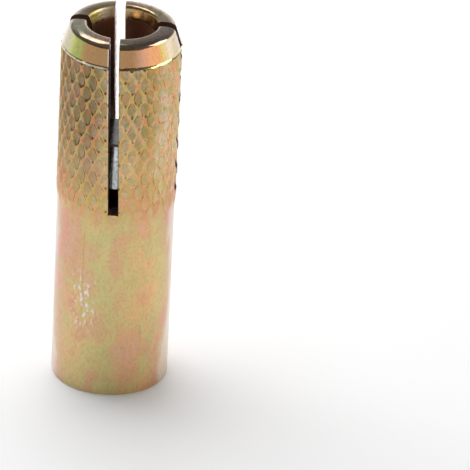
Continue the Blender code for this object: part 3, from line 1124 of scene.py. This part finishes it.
blue_zinc, tree, shader = new_material("blue_zinc")
place = node(tree, "TexCoord", "Object")
spots = grain(tree, place, BLUE_SPOT_SIZE, detail=3.0)
plug_film = colour_ramp(tree, spots, [
    (0.35, srgb(150, 156, 150)), (0.5, srgb(190, 194, 194)), (0.65, srgb(212, 214, 212)),
])
tree.links.new(plug_film, shader.inputs["Base Color"])
shader.inputs["Metallic"].default_value = 1.0
shader.inputs["Roughness"].default_value = BLUE_ROUGHNESS
rings = grain(tree, place, LATHE_RING_SIZE, stretch=0.12, seed=4.0)
bump = node(tree, "Bump", 0, Strength=0.3, Distance=LATHE_RING_HEIGHT, Height=rings)
tree.links.new(bump, shader.inputs["Normal"])
plug.data.materials.clear()
plug.data.materials.append(blue_zinc)
print("blue zinc has", len(tree.nodes), "nodes")

# %% [markdown]
# ## Floor and light
#
# The anchor stands on a plain white floor, which lies a hair below its foot so that no two faces
# share a place. Bright metal shows mostly what stands round it, and its upright sides mirror the
# floor. So the floor glows a little for the camera and for mirrors, though it lights nothing. The
# glow grows further out, so that the floor meets the white backdrop without a line.

# %% The floor
FLOOR_SIZE = 0.9
FLOOR_GAP = 0.01 * MM
FLOOR_COLOUR = (0.93, 0.93, 0.935)
FLOOR_GLOW = 0.12
FAR_GLOW = 0.7
FADE_DISTANCES = (0.18, 0.4)

bpy.ops.object.select_all(action="DESELECT")
bpy.ops.mesh.primitive_plane_add(size=FLOOR_SIZE, location=(0.0, 0.0, -FLOOR_GAP))
bpy.ops.object.transform_apply(location=True)
floor = bpy.context.object
floor.name = "floor"
floor_paint, tree, floor_shader = new_material("floor_paint")
floor_shader.inputs["Base Color"].default_value = (*FLOOR_COLOUR, 1.0)
floor_shader.inputs["Roughness"].default_value = 0.9
floor_shader.inputs["Specular IOR Level"].default_value = 0.0


def seen_directly(tree):
    """1 for rays from the camera and for those that a mirror or glass passes on, else 0."""
    rays = tree.nodes.new("ShaderNodeLightPath").outputs
    mirrored = larger(tree, rays["Is Glossy Ray"], rays["Is Transmission Ray"])
    return larger(tree, rays["Is Camera Ray"], mirrored)


floor_place = node(tree, "TexCoord", "Object")
away = node(tree, "VectorMath", "Value", {"operation": "LENGTH"}, Vector=floor_place)
far_glow = times(tree, rise(tree, away, *FADE_DISTANCES), FAR_GLOW)
glow = times(tree, seen_directly(tree), plus(tree, far_glow, FLOOR_GLOW))
tree.links.new(glow, floor_shader.inputs["Emission Strength"])
floor_shader.inputs["Emission Color"].default_value = (1.0, 1.0, 1.0, 1.0)
floor.data.materials.append(floor_paint)
print("floor", round(floor.dimensions.x / MM), "mm wide")

# %% [markdown]
# One lamp, high behind, lights the floor and throws the shadow. It would be too harsh as a
# reflection, so mirrors don't see it. Two more are seen by mirrors alone, one high behind at the
# left and one lower at the right, and they put a line of light on rounded edges.

# %% The lamps
LAMP_DISTANCE = 0.35


def soft_lamp(name, azimuth_deg, elevation_deg, size, colour, power, mirrored):
    """A square soft lamp that faces the sleeve, for the floor or for reflections in the metal."""
    azimuth = math.radians(azimuth_deg)
    elevation = math.radians(elevation_deg)
    outward = Vector((
        math.cos(azimuth) * math.cos(elevation),
        math.sin(azimuth) * math.cos(elevation),
        math.sin(elevation),
    ))
    data = bpy.data.lights.new(name, "AREA")
    data.size = size
    data.energy = power
    data.color = colour
    lamp = bpy.data.objects.new(name, data)
    bpy.context.collection.objects.link(lamp)
    lamp.location = Vector((0.0, 0.0, tip / 2)) + outward * LAMP_DISTANCE
    lamp.rotation_euler = outward.to_track_quat("Z", "Y").to_euler()
    lamp.visible_glossy = mirrored
    lamp.visible_diffuse = not mirrored
    print(name, "at", lamp.location / MM)


soft_lamp("floor_lamp", 120, 60, 0.4, (1.0, 1.0, 1.0), 1.6, False)
soft_lamp("left_lamp", 126, 59, 0.175, (1.0, 0.92, 0.86), 0.22, True)
soft_lamp("right_lamp", 3, 35, 0.2, (1.0, 1.0, 0.97), 0.45, True)

# %% [markdown]
# What the metal mirrors beyond the floor comes from the world: white all round and low down, as
# from white card, and a dim grey ceiling above. The level rim mirrors that ceiling, so it comes
# out darker than the sides. The card reaches higher at the front, at the right and behind. The
# camera itself sees plain white.

# %% The surroundings
CEILING_LEFT = 0.13
CEILING_RIGHT = 0.15
CEILING_BACK = 0.29
CEILING_EDGE = (0.11, 0.17)
# axis of the direction, where the card starts to rise, where it is up, and how much higher it is
HIGHER_CARD = (
    ("Y", -0.7, -0.95, 0.05),
    ("X", 0.6, 0.95, 0.2),
    ("Y", 0.72, 0.9, 0.18),
)

world = bpy.data.worlds.new("studio")
bpy.context.scene.world = world
world.use_nodes = True
tree = world.node_tree
tree.nodes.clear()
direction = tree.nodes.new("ShaderNodeSeparateXYZ")
tree.links.new(node(tree, "TexCoord", "Generated"), direction.inputs["Vector"])


def grey(value):
    """A neutral colour."""
    return (value, value, value, 1.0)


climb = direction.outputs["Z"]
for axis, start, end, reach in HIGHER_CARD:
    side = rise(tree, direction.outputs[axis], start, end)
    climb = minus(tree, climb, times(tree, side, reach))
to_right = rise(tree, direction.outputs["X"], -0.5, 0.7)
to_back = rise(tree, direction.outputs["Y"], 0.4, 0.85)
ceiling = lay(tree, to_right, grey(CEILING_LEFT), grey(CEILING_RIGHT))
ceiling = lay(tree, to_back, ceiling, grey(CEILING_BACK))
surroundings = lay(tree, rise(tree, climb, *CEILING_EDGE), grey(1.0), ceiling)
rays = tree.nodes.new("ShaderNodeLightPath").outputs
seen = lay(tree, rays["Is Camera Ray"], surroundings, grey(1.0))
background = node(tree, "Background", 0, Color=seen)
output = tree.nodes.new("ShaderNodeOutputWorld")
tree.links.new(background, output.inputs["Surface"])
print("the surroundings have", len(tree.nodes), "nodes")
